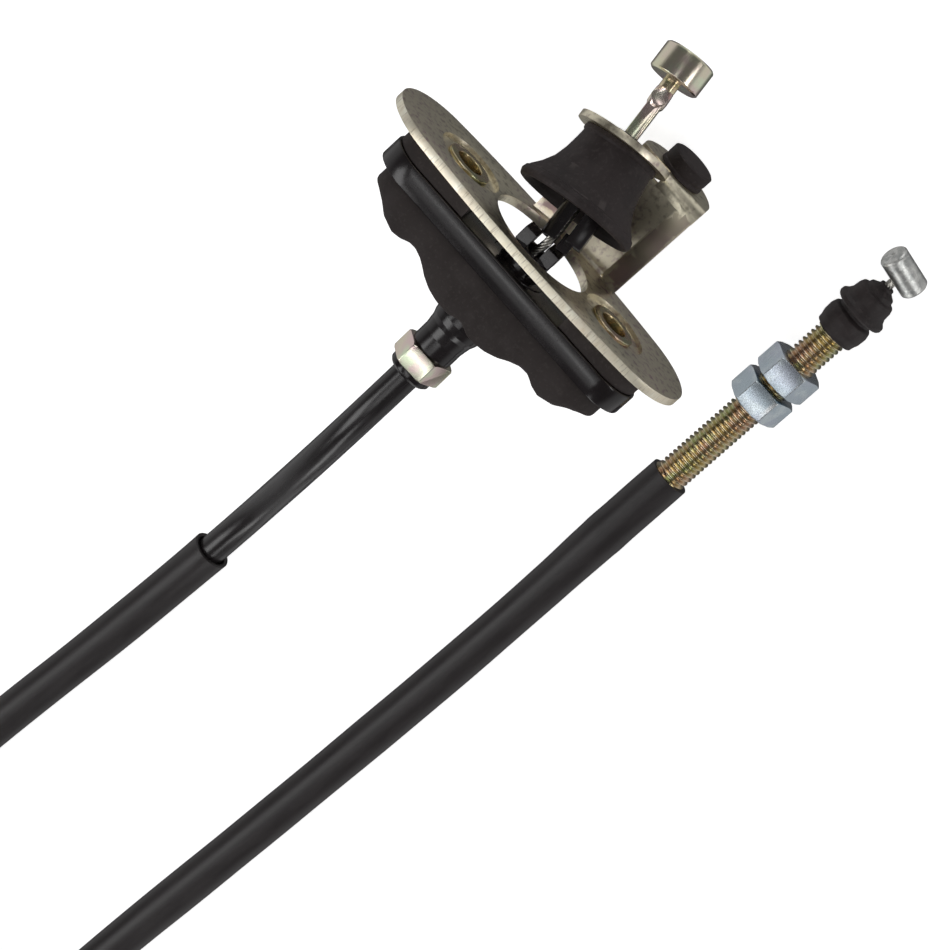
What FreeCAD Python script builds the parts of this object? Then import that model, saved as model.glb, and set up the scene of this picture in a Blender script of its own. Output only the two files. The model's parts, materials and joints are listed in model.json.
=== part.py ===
import FreeCAD, Part
import math
import os

# Clutch cable with a firewall flange at the pedal end and a threaded adjuster at the engine end.
# Millimetres. The origin is the centre of the flange's bolt line, on the flange's pedal side.
# +X is the flange normal towards the pedal, +Y runs along the flange, +Z is up.

Vector = FreeCAD.Vector

# Surface that the cable lies on, and its cords
floor_z = -31.3
sleeve_r = 4.65
conduit_r = 3.45
rope_r = 1.05
liner_r = 1.45
liner_bore_r = 1.15

# Firewall flange, stamped with its arm, shelf and boot seat from one sheet
sheet_t = 2.0
flange_half_length = 44.0
flange_half_height = 17.5
pilot_hole_r = 13.6
bolt_offset = 23.0
bolt_hole_r = 3.4
nut_seat_r = 5.2
nut_recess_r = 8.45
nut_recess_depth = 1.0
arm_y_low = -13.0
arm_y_high = 3.0
strip_width = 4.9
strip_rise = 3.0
arm_face_z = -17.3
arm_tip_z = -16.6
arm_tip_x = 24.0
bend_r = 2.5
relief_y = -6.4
shelf_centre_y = -8.0
shelf_r = 10.0
bump_r = 5.7
bump_height = 4.2

# Pull rod line: everything on it is given as a height along it from the middle of the barrel
barrel_centre = Vector(44.2, 8.06, -15.2)
pull_line = Vector(0.915, 0.193, -0.358)
barrel_r = 6.15
barrel_height = 6.8
barrel_chamfer = 0.45
rod_width = 3.2
rod_swage_width = 4.0
rod_end = -25.4
rod_bore_r = 1.15
rod_bore_top = -8.6
rope_end = -22.2
seat_low = -21.2
seat_t = 1.6
seat_r = 11.6
seat_hole_r = 4.0
boot_neck_r = 3.9

# Seal stack on the engine side of the flange
carrier_half_length = 37.3
carrier_half_height = 8.6
pad_back_x = -7.5
carrier_back_x = -12.95
recess_floor_x = -10.2
dome_half_length = 34.4
dome_half_height = 7.3
fitting_lean = 1.65
neck_back_x = -34.5
nut_back_x = -39.9
collar_back_x = -41.9
bolt_way_r = 4.6

# Adjuster at the engine end, its axis parallel to X
engine_y = -55.9
engine_z = floor_z + 6.5
screw_r = 3.9
screw_back_x = -20.7
screw_front_x = 32.0
screw_bore_r = 1.6
ferrule_back_x = -39.0
sleeve_end_back_x = -42.0
nut_across_flats = 12.0
nut_thickness = 6.5
nut_centres_x = {"lock_nut": 7.0, "adjusting_nut": 14.9}
nipple_r = 3.25
nipple_length = 10.0
nipple_x = 48.8
nipple_axis = Vector(0.232, 0.883, 0.400)

# Coil of the put-away length
coil_centre = (-277.0, -25.1)
coil_r = 47.0
coil_half_width = 5.0
coil_height = 18.6

conduit_route = [
    (-41.88, -1.21, 0), (-58, -1.48, 0), (-75, -1.4, -7), (-91, -1.02, -17.6),
    (-101, -0.8, -22.5), (-113, -0.5, -24.66),
]
pedal_route = [
    (-113, -0.5, -24.66), (-124, -0.15, -26.45), (-150, 1.0, -26.65), (-181, 3.1, -26.65),
    (-205, 3.6, -25.0), (-229, 4.8, -19.5), (-257.1, 17.5, -17.4),
]
engine_route = [
    (sleeve_end_back_x, engine_y, engine_z), (-62, -56.3, -25.1), (-92, -56.3, -26.5),
    (-130, -55.5, -26.65), (-165, -54.5, -26.65), (-197, -53.3, -26.65), (-226, -53.3, -26.65),
    (-257.1, -67.7, -26.65),
]


def revolved(points, origin=Vector(0, 0, 0), axis=Vector(0, 0, 1)):
    """Solid of revolution about Z from (radius, height) points, where a 4-item entry is an arc."""
    edges = []
    last = None
    for point in points + [points[0]]:
        here = Vector(point[0], 0, point[1])
        if last is not None and len(point) == 4:
            through = Vector(point[2], 0, point[3])
            edges.append(Part.Arc(last, through, here).toShape())
        elif last is not None:
            edges.append(Part.LineSegment(last, here).toShape())
        last = here
    solid = Part.Face(Part.Wire(edges)).revolve(Vector(0, 0, 0), Vector(0, 0, 1), 360)
    return solid


def along_x(shape, y=0.0, z=0.0):
    """Turn a shape built on Z so that its heights become X positions."""
    turned = shape.copy()
    turned.rotate(Vector(0, 0, 0), Vector(0, 1, 0), 90)
    turned.translate(Vector(0, y, z))
    return turned


def on_pull_line(shape):
    """Place a shape built on Z on the pull rod's line, its X side turned upwards."""
    w = Vector(pull_line).normalize()
    u = (Vector(0, 0, 1) - w * w.z).normalize()
    v = w.cross(u)
    matrix = FreeCAD.Matrix(
        u.x, v.x, w.x, barrel_centre.x,
        u.y, v.y, w.y, barrel_centre.y,
        u.z, v.z, w.z, barrel_centre.z,
        0, 0, 0, 1)
    placed = shape.copy()
    placed.Placement = FreeCAD.Placement(matrix)
    return placed


def leaning(shape):
    """Turn a shape about the flange's centre so that its far end leans towards -Y."""
    turned = shape.copy()
    turned.rotate(Vector(0, 0, 0), Vector(0, 0, 1), fitting_lean)
    return turned


def disc(r, x_from, x_to, y=0.0, z=0.0):
    return Part.makeCylinder(r, x_to - x_from, Vector(x_from, y, z), Vector(1, 0, 0))


def ring(r_out, r_in, x_from, x_to, y=0.0, z=0.0):
    return disc(r_out, x_from, x_to, y, z).cut(disc(r_in, x_from - 1, x_to + 1, y, z))


def block(x_from, x_to, y_from, y_to, z_from, z_to):
    return Part.makeBox(x_to - x_from, y_to - y_from, z_to - z_from, Vector(x_from, y_from, z_from))


def stadium(half_length, half_height, x_from, x_to):
    straight = half_length - half_height
    body = block(x_from, x_to, -straight, straight, -half_height, half_height)
    for side in (-1, 1):
        body = body.fuse(disc(half_height, x_from, x_to, side * straight))
    return body.removeSplitter()


def hexagon(across_flats, x_from, x_to, y, z, chamfer=0.0):
    corner_r = across_flats / math.sqrt(3)
    points = []
    for k in range(7):
        angle = math.radians(60 * k)
        points.append(Vector(x_from, y + corner_r * math.cos(angle), z + corner_r * math.sin(angle)))
    body = Part.Face(Part.makePolygon(points)).extrude(Vector(x_to - x_from, 0, 0))
    if chamfer:
        half = (x_to - x_from) / 2
        profile = [(0, -half), (corner_r - chamfer, -half), (corner_r, -half + chamfer * 0.6),
                   (corner_r, half - chamfer * 0.6), (corner_r - chamfer, half), (0, half)]
        bound = along_x(revolved(profile), y, z)
        bound.translate(Vector(x_from + half, 0, 0))
        body = body.common(bound)
    return body


def extruded_profile(points, y_from, y_to):
    """Sheet profile given as (x, z) points, where a 4-item entry is an arc, extruded along Y."""
    edges = []
    last = None
    for point in points + [points[0]]:
        here = Vector(point[0], y_from, point[1])
        if last is not None and len(point) == 4:
            edges.append(Part.Arc(last, Vector(point[2], y_from, point[3]), here).toShape())
        elif last is not None:
            edges.append(Part.LineSegment(last, here).toShape())
        last = here
    return Part.Face(Part.Wire(edges)).extrude(Vector(0, y_to - y_from, 0))


# Bracket


def flange_plate():
    y_corner = 0.74 * flange_half_length
    z_corner = 0.815 * flange_half_height
    corners = [Vector(0, y_corner, z_corner), Vector(0, -y_corner, z_corner),
               Vector(0, -y_corner, -z_corner), Vector(0, y_corner, -z_corner)]
    crowns = [Vector(0, 0, flange_half_height), Vector(0, -flange_half_length, 0),
              Vector(0, 0, -flange_half_height), Vector(0, flange_half_length, 0)]
    edges = []
    for k in range(4):
        edges.append(Part.Arc(corners[k], crowns[k], corners[(k + 1) % 4]).toShape())
    plate = Part.Face(Part.Wire(edges)).extrude(Vector(-sheet_t, 0, 0))
    plate = plate.cut(disc(pilot_hole_r, -sheet_t - 1, 1))
    for side in (-1, 1):
        y = side * bolt_offset
        plate = plate.cut(disc(nut_seat_r, -sheet_t - 1, 1, y))
        plate = plate.cut(disc(nut_recess_r, -nut_recess_depth, 1, y))
    return plate


def arm_panel(y_from, y_to, x_end):
    """Flat part of the arm with its root bend, seen from the side as an L."""
    slope = (arm_tip_z - arm_face_z) / arm_tip_x
    z_end = arm_face_z + slope * x_end
    outer = arm_face_z - sheet_t
    root_r = 1.0 + sheet_t
    profile = [
        (-sheet_t, outer + root_r + 1.5), (-sheet_t, outer + root_r),
        (1.0, outer, -sheet_t + root_r * 0.293, outer + root_r * 0.293),
        (x_end, z_end - sheet_t), (x_end, z_end), (1.0, arm_face_z),
        (0, arm_face_z + 1.0, 0.293, arm_face_z + 0.293), (0, outer + root_r + 1.5),
    ]
    return extruded_profile(profile, y_from, y_to)


def arm_strip(y_inner, y_outer):
    """Raised edge of the arm, which flattens out towards the arm's tip."""
    sections = []
    for x, face_z, rise in ((0.0, arm_face_z, strip_rise), (arm_tip_x, arm_tip_z, 0.0)):
        points = [Vector(x, y_inner, face_z), Vector(x, y_outer, face_z + rise),
                  Vector(x, y_outer, face_z + rise - sheet_t * 1.1), Vector(x, y_inner, face_z - sheet_t)]
        sections.append(Part.makePolygon(points + [points[0]]))
    return Part.makeLoft(sections, True, True)


def shelf():
    """Tip of the arm, bent down into the round shelf that holds the bump stop."""
    face_x = arm_tip_x + bend_r
    back_x = face_x - sheet_t
    bend_z = arm_tip_z - bend_r
    inner_r = bend_r - sheet_t
    profile = [
        (arm_tip_x - 1.5, arm_tip_z - sheet_t), (arm_tip_x - 1.5, arm_tip_z), (arm_tip_x, arm_tip_z),
        (face_x, bend_z, arm_tip_x + bend_r * 0.707, bend_z + bend_r * 0.707),
        (face_x, bend_z - 2.0), (back_x, bend_z - 2.0), (back_x, bend_z),
        (arm_tip_x, bend_z + inner_r, arm_tip_x + inner_r * 0.707, bend_z + inner_r * 0.707),
    ]
    bend = extruded_profile(profile, shelf_centre_y - shelf_r, relief_y)
    lobe = disc(shelf_r, back_x, face_x, shelf_centre_y, shelf_centre_z())
    below_bend = block(back_x - 1, face_x + 1, -40, 40, -60, bend_z)
    return bend.fuse(lobe.common(below_bend))


def shelf_centre_z():
    return floor_z + shelf_r


def boot_seat():
    """Round seat across the pull line; its far side runs into the arm."""
    seat = revolved([(0, seat_low), (seat_r, seat_low), (seat_r, seat_low + seat_t), (0, seat_low + seat_t)])
    seat = on_pull_line(seat)
    above_arm = block(-10, 60, -40, 40, arm_tip_z - sheet_t, 40)
    seat = seat.common(above_arm)
    hole = on_pull_line(Part.makeCylinder(seat_hole_r, seat_t + 2, Vector(0, 0, seat_low - 1)))
    return seat.cut(hole)


def firewall_bracket():
    body = flange_plate()
    parts = [
        arm_panel(arm_y_low, arm_y_high, arm_tip_x - 1.0),
        arm_strip(arm_y_low, arm_y_low - strip_width),
        arm_strip(arm_y_high, arm_y_high + strip_width),
        shelf(),
        boot_seat(),
    ]
    for piece in parts:
        body = body.fuse(piece)
    body = body.cut(disc(pilot_hole_r, -sheet_t - 1, 0.9))
    return body.removeSplitter()


def weld_nuts():
    nuts = []
    for side in (-1, 1):
        y = side * bolt_offset
        nut = disc(nut_seat_r - 0.02, -sheet_t - 0.5, -0.5, y)
        nut = nut.fuse(disc(nut_seat_r + 0.45, -nut_recess_depth, -0.15, y))
        nut = nut.fuse(disc(6.4, -6.2, -sheet_t, y))
        nuts.append(nut.cut(disc(bolt_hole_r, -10, 5, y)).removeSplitter())
    return Part.makeCompound(nuts)


def bump_stop():
    base_x = arm_tip_x + bend_r
    profile = [(0, base_x), (bump_r, base_x), (bump_r - 0.15, base_x + bump_height - 0.5),
               (bump_r - 0.65, base_x + bump_height, bump_r - 0.3, base_x + bump_height - 0.13),
               (0, base_x + bump_height)]
    return along_x(revolved(profile), shelf_centre_y - 0.2, shelf_centre_z() - 3.0)


# Seal stack and end fitting


def bolt_ways(x_from, x_to, r=bolt_way_r):
    return disc(r, x_from, x_to, -bolt_offset).fuse(disc(r, x_from, x_to, bolt_offset))


def seal_pad():
    body = stadium(carrier_half_length - 0.5, carrier_half_height - 0.4, pad_back_x, -sheet_t)
    body = body.cut(block(pad_back_x - 1, 1, -15.5, 15.5, -20, 20))
    return body.cut(bolt_ways(pad_back_x - 1, 1, 6.45))


def seal_carrier():
    body = stadium(carrier_half_length, carrier_half_height, carrier_back_x, pad_back_x)
    body = body.cut(stadium(carrier_half_length - 2.4, carrier_half_height - 2.4, carrier_back_x - 1, recess_floor_x))
    body = body.cut(leaning(disc(6.5, carrier_back_x - 2, 0)))
    body = body.cut(leaning(disc(7.3, recess_floor_x - 0.4, 0)))
    return body.cut(bolt_ways(carrier_back_x - 1, 0))


def dome_seal():
    front_x = carrier_back_x
    back_x = front_x - 4.4
    outline = stadium(dome_half_length, dome_half_height, -30.0, front_x)
    body = stadium(dome_half_length, dome_half_height, back_x, front_x)
    for side in (-1, 1):
        lobe = along_x(revolved([(0, -22.0), (5.8, -22.0), (8.2, -20.4), (9.0, -17.6), (9.0, -15.0), (0, -15.0)]))
        lobe.translate(Vector(0, side * (bolt_offset + 2.0), 0))
        body = body.fuse(lobe.common(outline))
    profile = [(0, -24.8), (7.2, -24.8), (12.6, -21.6, 10.8, -23.8), (14.2, -18.8), (14.8, -15.0), (0, -15.0)]
    body = body.fuse(along_x(revolved(profile)).common(outline))
    body = body.fuse(stadium(carrier_half_length - 2.5, carrier_half_height - 2.5, front_x - 0.5, recess_floor_x - 0.1))
    body = body.cut(leaning(disc(6.5, -30, 0)))
    return body.cut(bolt_ways(-30, 0)).removeSplitter()


def end_fitting():
    profile = [(conduit_r + 0.05, neck_back_x), (5.2, neck_back_x), (5.2, -30.4), (6.1, -26.6), (6.4, -24.9),
               (6.4, recess_floor_x + 0.3), (7.2, recess_floor_x + 0.3), (7.2, pad_back_x), (5.1, pad_back_x),
               (5.1, -9.5), (conduit_r + 0.05, -9.5)]
    return leaning(along_x(revolved(profile)))


def castle_bush():
    body = ring(5.0, rope_r + 0.55, -9.4, -2.4)
    for side in (-1, 1):
        jaw = block(-3.4, 1.0, 1.7, 5.0, -3.0, 3.0) if side > 0 else block(-3.4, 1.0, -5.0, -1.7, -3.0, 3.0)
        body = body.fuse(jaw.common(disc(5.4, -4, 2)))
    for k in range(4):
        tooth = block(-7.0, -4.6, 4.0, 5.7, -1.1, 1.1)
        tooth.rotate(Vector(0, 0, 0), Vector(1, 0, 0), 45 + 90 * k)
        body = body.fuse(tooth)
    return leaning(body.cut(disc(rope_r + 0.55, -10, 2)).removeSplitter())


def end_nut():
    nut = hexagon(11.4, nut_back_x, neck_back_x, 0, 0, 0.5)
    return leaning(nut.cut(disc(conduit_r + 0.05, nut_back_x - 1, neck_back_x + 1)))


def conduit_collar():
    return leaning(ring(5.3, conduit_r + 0.05, collar_back_x, nut_back_x))


# Pull rod, boot and clip


def pedal_barrel():
    half = barrel_height / 2
    flat = barrel_r - barrel_chamfer
    return on_pull_line(revolved([(0, -half), (flat, -half), (barrel_r, -half + barrel_chamfer),
                                  (barrel_r, half - barrel_chamfer), (flat, half), (0, half)]))


def rod_neck():
    return on_pull_line(revolved([(0, -5.6), (1.95, -5.6), (1.95, -3.4), (0, -3.4)]))


def pull_rod():
    half = rod_width / 2
    bar = Part.makeBox(rod_width, rod_width, 14.0, Vector(-half, -half, -23.0))
    bar = bar.makeFillet(0.4, [e for e in bar.Edges if abs(e.BoundBox.ZLength - 14.0) < 0.01])
    half = rod_swage_width / 2
    swage = Part.makeBox(rod_swage_width, rod_swage_width, 6.0, Vector(-half, -half, -11.6))
    swage = swage.common(revolved([(0, -10.6), (1.5, -10.6), (2.3, -9.2), (2.8, -8.1), (2.8, -7.4),
                                   (1.95, -5.6, 2.25, -6.4), (0, -5.6)]))
    bar = bar.fuse(swage)
    bar = bar.fuse(Part.makeCylinder(1.9, 2.6, Vector(0, 0, rod_end)))
    bore = Part.makeCylinder(rod_bore_r, rod_bore_top - rod_end + 1, Vector(0, 0, rod_end - 1))
    return on_pull_line(bar.removeSplitter().cut(bore))


def boot():
    neck_top = seat_low + seat_t
    profile = [
        (0, -18.4), (4.3, -18.4), (4.3, neck_top + 0.05), (boot_neck_r, neck_top + 0.05),
        (boot_neck_r, seat_low - 0.05), (9.2, seat_low - 0.05), (9.2, -22.5), (8.9, -22.8), (9.6, -27.5),
        (11.6, -32.4, 10.3, -30.3), (14.5, -36.9), (13.6, -38.4, 14.35, -37.9), (11.9, -37.4), (9.0, -32.0),
        (7.8, -27.0), (0, -27.0),
    ]
    way = Part.makeBox(4.2, 4.2, 12.0, Vector(-2.1, -2.1, -28.0))
    return on_pull_line(revolved(profile).cut(way))


def boot_clip():
    body = revolved([(3.05, -27.0), (5.2, -27.0), (5.2, -36.0), (3.05, -36.0)])
    tongue = Part.makeBox(4.4, 3.8, 8.4, Vector(-2.2, 2.5, -44.4))
    foot = Part.makeBox(2.8, 2.8, 4.0, Vector(-1.4, 1.7, -46.9))
    root = Part.makeBox(4.4, 1.9, 1.2, Vector(-2.2, 3.2, -36.6))
    root = root.common(revolved([(3.05, -37), (5.2, -37), (5.2, -35), (3.05, -35)]))
    return on_pull_line(body.fuse(root).fuse(tongue).fuse(foot).removeSplitter())


def guide_tube():
    body = revolved([(2.05, -45.8), (3.0, -45.8), (3.0, -37.0), (4.4, -37.0), (4.4, -36.05), (2.15, -36.05),
                     (2.15, -38.65), (2.05, -38.65)])
    return on_pull_line(body.cut(Part.makeBox(12, 6, 12, Vector(-6, 0.6, -47.8))))


def pedal_rope():
    w = Vector(pull_line).normalize()
    points = [Vector(-20, -0.58, 0), Vector(-2, -0.06, 0.05), barrel_centre + w * -44.0, barrel_centre + w * rope_end]
    return tube("pedal_rope", points, rope_r)


# Adjuster


def adjuster_screw():
    under_nuts = (2.5, 19.0)
    body = ring(screw_r, screw_bore_r, screw_back_x, under_nuts[0], engine_y, engine_z)
    body = body.fuse(ring(screw_r - 0.05, screw_bore_r, under_nuts[0], under_nuts[1], engine_y, engine_z))
    return body.fuse(ring(screw_r, screw_bore_r, under_nuts[1], screw_front_x, engine_y, engine_z))


def adjuster_ferrule():
    body = ring(4.2, conduit_r + 0.05, ferrule_back_x, screw_back_x - 1.5, engine_y, engine_z)
    return body.fuse(ring(4.2, screw_bore_r, screw_back_x - 1.5, screw_back_x, engine_y, engine_z))


def sleeve_end():
    return ring(4.9, 4.25, sleeve_end_back_x, screw_back_x, engine_y, engine_z)


def hex_nut(centre_x):
    half = nut_thickness / 2
    nut = hexagon(nut_across_flats, centre_x - half, centre_x + half, engine_y, engine_z, 0.8)
    return nut.cut(disc(screw_r + 0.02, centre_x - 9, centre_x + 9, engine_y, engine_z))


def dust_boot():
    profile = [
        (screw_r + 0.05, 28.4), (4.9, 28.4), (5.6, 33.2, 5.65, 30.8), (4.3, 35.0), (4.3, 35.6),
        (5.9, 35.9), (5.9, 38.0, 6.35, 36.9), (4.5, 39.2), (4.1, 41.2), (3.5, 42.8), (1.9, 44.2),
        (rope_r + 0.1, 44.2), (rope_r + 0.1, screw_front_x + 0.6), (screw_r + 0.05, screw_front_x + 0.6),
    ]
    return along_x(revolved(profile), engine_y, engine_z)


def engine_nipple():
    w = Vector(nipple_axis).normalize()
    start = Vector(nipple_x, engine_y, engine_z) - w * (nipple_length / 2)
    body = Part.makeCylinder(nipple_r, nipple_length, start, w)
    return body.makeChamfer(0.35, [e for e in body.Edges if e.Length < nipple_r * 7 and e.Closed])


def engine_rope():
    rope = disc(rope_r, 4.0, nipple_x, engine_y, engine_z)
    return rope.cut(engine_nipple())


# Cords


def tube(name, points, r):
    """Round tube along straight runs joined by tangent arcs, with its smallest radius printed."""
    edges = []
    radii = []
    last = points[0]
    for k in range(1, len(points) - 1):
        back = points[k - 1] - points[k]
        ahead = points[k + 1] - points[k]
        turn = math.pi - back.getAngle(ahead)
        reach = 0.45 * min(back.Length, ahead.Length)
        back.normalize()
        ahead.normalize()
        start = points[k] + back * reach
        end = points[k] + ahead * reach
        bend = reach / math.tan(turn / 2)
        radii.append(bend)
        to_centre = (back + ahead).normalize()
        middle = points[k] + to_centre * (bend / math.cos(turn / 2) - bend)
        edges.append(Part.LineSegment(last, start).toShape())
        edges.append(Part.Arc(start, middle, end).toShape())
        last = end
    edges.append(Part.LineSegment(last, points[-1]).toShape())
    path = Part.Wire(edges)
    section = Part.Wire([Part.Circle(points[0], points[1] - points[0], r).toShape()])
    solid = path.makePipeShell([section], True, False)
    expected = math.pi * r * r * path.Length
    print(f"{name}: length {path.Length:.1f}, radii {[round(b, 1) for b in radii]},",
          f"volume ratio {solid.Volume / expected:.3f}, valid {solid.isValid()}")
    return solid


def route(points):
    return [Vector(*p) for p in points]


def sleeve_coil():
    """Outer shape of the two stacked turns that hold the put-away length."""
    r_in = coil_r - coil_half_width
    r_out = coil_r + coil_half_width
    top = floor_z + coil_height
    body = revolved([(r_in, floor_z), (r_out, floor_z), (r_out, top), (r_in, top)])
    body.translate(Vector(coil_centre[0], coil_centre[1], 0))
    return body


nodes = {
    "firewall_bracket": firewall_bracket(),
    "weld_nuts": weld_nuts(),
    "bump_stop": bump_stop(),
    "seal_pad": seal_pad(),
    "seal_carrier": seal_carrier(),
    "dome_seal": dome_seal(),
    "end_fitting": end_fitting(),
    "castle_bush": castle_bush(),
    "end_nut": end_nut(),
    "conduit_collar": conduit_collar(),
    "pedal_barrel": pedal_barrel(),
    "rod_neck": rod_neck(),
    "pull_rod": pull_rod(),
    "boot": boot(),
    "boot_clip": boot_clip(),
    "guide_tube": guide_tube(),
    "pedal_rope": pedal_rope(),
    "conduit_stub_pedal": leaning(ring(conduit_r, liner_r + 0.05, collar_back_x, -9.5)),
    "liner_pedal": leaning(ring(liner_r, liner_bore_r, -40.0, -9.5)),
    "adjuster_screw": adjuster_screw(),
    "adjuster_ferrule": adjuster_ferrule(),
    "sleeve_end": sleeve_end(),
    "conduit_stub_engine": ring(conduit_r, liner_r + 0.1, ferrule_back_x, screw_back_x - 1.6, engine_y, engine_z),
    "liner_engine": ring(liner_r + 0.05, liner_bore_r, -38.0, 31.0, engine_y, engine_z),
    "dust_boot": dust_boot(),
    "engine_rope": engine_rope(),
    "engine_nipple": engine_nipple(),
    "conduit": tube("conduit", route(conduit_route), conduit_r),
    "sleeve_pedal_run": tube("sleeve_pedal_run", route(pedal_route), sleeve_r),
    "sleeve_engine_run": tube("sleeve_engine_run", route(engine_route), sleeve_r),
    "sleeve_coil": sleeve_coil(),
}
for nut_name, nut_x in nut_centres_x.items():
    nodes[nut_name] = hex_nut(nut_x)

os.makedirs("parts", exist_ok=True)
for name, shape in nodes.items():
    shape.exportStep(f"parts/{name}.step")
print(len(nodes), "nodes, all valid:", all(shape.isValid() for shape in nodes.values()))
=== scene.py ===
import json
import math

import bmesh
import bpy
from mathutils import Matrix, Vector


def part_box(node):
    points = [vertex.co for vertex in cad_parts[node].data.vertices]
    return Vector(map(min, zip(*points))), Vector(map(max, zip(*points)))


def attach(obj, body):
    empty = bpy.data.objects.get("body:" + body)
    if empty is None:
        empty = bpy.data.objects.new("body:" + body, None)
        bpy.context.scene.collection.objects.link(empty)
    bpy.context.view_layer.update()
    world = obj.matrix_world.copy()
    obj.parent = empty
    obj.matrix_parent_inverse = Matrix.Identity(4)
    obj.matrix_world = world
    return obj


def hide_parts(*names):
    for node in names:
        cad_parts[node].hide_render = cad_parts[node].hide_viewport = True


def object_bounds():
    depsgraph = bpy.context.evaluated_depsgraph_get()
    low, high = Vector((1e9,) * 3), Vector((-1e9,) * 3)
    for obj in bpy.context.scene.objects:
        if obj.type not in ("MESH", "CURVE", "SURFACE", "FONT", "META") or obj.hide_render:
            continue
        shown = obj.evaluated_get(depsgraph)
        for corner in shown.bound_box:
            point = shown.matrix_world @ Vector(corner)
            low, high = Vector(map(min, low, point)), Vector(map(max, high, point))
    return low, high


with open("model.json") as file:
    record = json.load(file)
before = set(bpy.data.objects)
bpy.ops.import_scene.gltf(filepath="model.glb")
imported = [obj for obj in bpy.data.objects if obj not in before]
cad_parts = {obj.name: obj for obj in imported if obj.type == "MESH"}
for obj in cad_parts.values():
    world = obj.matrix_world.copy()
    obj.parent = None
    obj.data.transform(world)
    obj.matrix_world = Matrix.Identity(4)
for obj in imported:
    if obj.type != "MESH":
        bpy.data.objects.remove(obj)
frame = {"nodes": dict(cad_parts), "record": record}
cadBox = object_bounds()
mounts = {m["name"]: m for m in frame["record"]["mounts"]}
floorZ = cadBox[0].z


# Small helpers. Settings are in mm and degrees unless a note says otherwise.
meshSet = {"smoothAngle": 35.0, "weld": 1e-6, "cadWeld": 2e-6, "flatAngle": 1.0, "bevelAngle": 34.0}  # welds in m


def mm(x, y, z):
    return Vector((x, y, z)) * 0.001


def placeOn(origin, direction):  # local Z runs along direction, local X as near straight up as it can
    up = Vector((0, 0, 1))
    w = Vector(direction).normalized()
    u = (up - w * w.dot(up)).normalized()
    v = w.cross(u)
    return Matrix(((u.x, v.x, w.x, origin[0]), (u.y, v.y, w.y, origin[1]),
                   (u.z, v.z, w.z, origin[2]), (0, 0, 0, 1)))


pullPlace = placeOn(mounts["pedal_barrel"]["pos_m"], mounts["pedal_barrel"]["axis"])
leanAngle = math.radians(1.65)  # the end fitting leans a little in its seal
fittingPlace = placeOn((0, 0, 0), (math.cos(leanAngle), math.sin(leanAngle), 0))
adjusterPlace = placeOn((0, *mounts["adjuster_thread"]["pos_m"][1:]), (1, 0, 0))
nipplePlace = placeOn(mounts["engine_nipple"]["pos_m"], mounts["engine_nipple"]["axis"])


def addObject(name, data):
    made = bpy.data.objects.new(name, data)
    bpy.context.scene.collection.objects.link(made)
    return made


def smoothUnder(mesh, angle):  # smooth shading, with edges sharper than the angle left hard
    mesh.shade_smooth()
    mesh.set_sharp_from_angle(angle=math.radians(angle))


def finishMesh(name, bm, material, smoothAngle=meshSet["smoothAngle"], weld=meshSet["weld"]):
    bmesh.ops.remove_doubles(bm, verts=bm.verts, dist=weld)
    bmesh.ops.dissolve_degenerate(bm, dist=weld, edges=bm.edges)
    bmesh.ops.recalc_face_normals(bm, faces=bm.faces)
    mesh = bpy.data.meshes.new(name)
    bm.to_mesh(mesh)
    bm.free()
    smoothUnder(mesh, smoothAngle)
    mesh.materials.append(material)
    return addObject(name, mesh)


def bake(piece):  # turns the live modifiers into the piece's own mesh
    graph = bpy.context.evaluated_depsgraph_get()
    mesh = bpy.data.meshes.new_from_object(piece.evaluated_get(graph))
    piece.modifiers.clear()
    old = piece.data
    piece.data = mesh
    mesh.name = piece.name
    if not old.users:
        bpy.data.meshes.remove(old)


def settle(piece, body, slot, *nodes):
    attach(piece, body)
    if nodes:
        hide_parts(*nodes)


def roundCorners(section, steps=5):  # section points are (across, along) or (across, along, corner radius)
    done = []
    count = len(section)
    for k, point in enumerate(section):
        here = Vector(point[:2])
        size = point[2] if len(point) > 2 else 0.0
        back = Vector(section[k - 1][:2]) - here
        ahead = Vector(section[(k + 1) % count][:2]) - here
        if size <= 0 or back.length < 1e-9 or ahead.length < 1e-9:
            done.append(here)
            continue
        turn = math.pi - back.angle(ahead)
        if turn < 0.02:
            done.append(here)
            continue
        reach = min(size * math.tan(turn / 2), back.length * 0.49, ahead.length * 0.49)
        start = here + back.normalized() * reach
        end = here + ahead.normalized() * reach
        for n in range(steps + 1):
            t = n / steps
            done.append(start * (1 - t) ** 2 + here * 2 * t * (1 - t) + end * t ** 2)
    return done


def lathe(name, section, place, material, sides=96, smoothAngle=meshSet["smoothAngle"], ripple=None):
    loop = roundCorners(section)  # the section is a closed outline
    bm = bmesh.new()
    rings = []
    for k in range(sides):
        angle = 2 * math.pi * k / sides
        ring = []
        for across, along in loop:
            if ripple:
                across = across + ripple(angle, across, along)
            local = mm(across * math.cos(angle), across * math.sin(angle), along)
            ring.append(bm.verts.new(place @ local))
        rings.append(ring)
    size = len(loop)
    for k in range(sides):
        first, second = rings[k], rings[(k + 1) % sides]
        for n in range(size):
            bm.faces.new((first[n], second[n], second[(n + 1) % size], first[(n + 1) % size]))
    return finishMesh(name, bm, material, smoothAngle)


def stadiumLoop(halfLength, halfHeight, arcSteps=14, straightSteps=10):
    straight = halfLength - halfHeight
    loop = []
    for side in (1, -1):
        for n in range(arcSteps * 2 + 1):
            angle = -math.pi / 2 + math.pi * n / (arcSteps * 2)
            reach = straight + halfHeight * math.cos(angle)
            loop.append((side * reach, side * halfHeight * math.sin(angle)))
        for n in range(1, straightSteps):
            loop.append((side * straight * (1 - 2 * n / straightSteps), side * halfHeight))
    return loop


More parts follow.
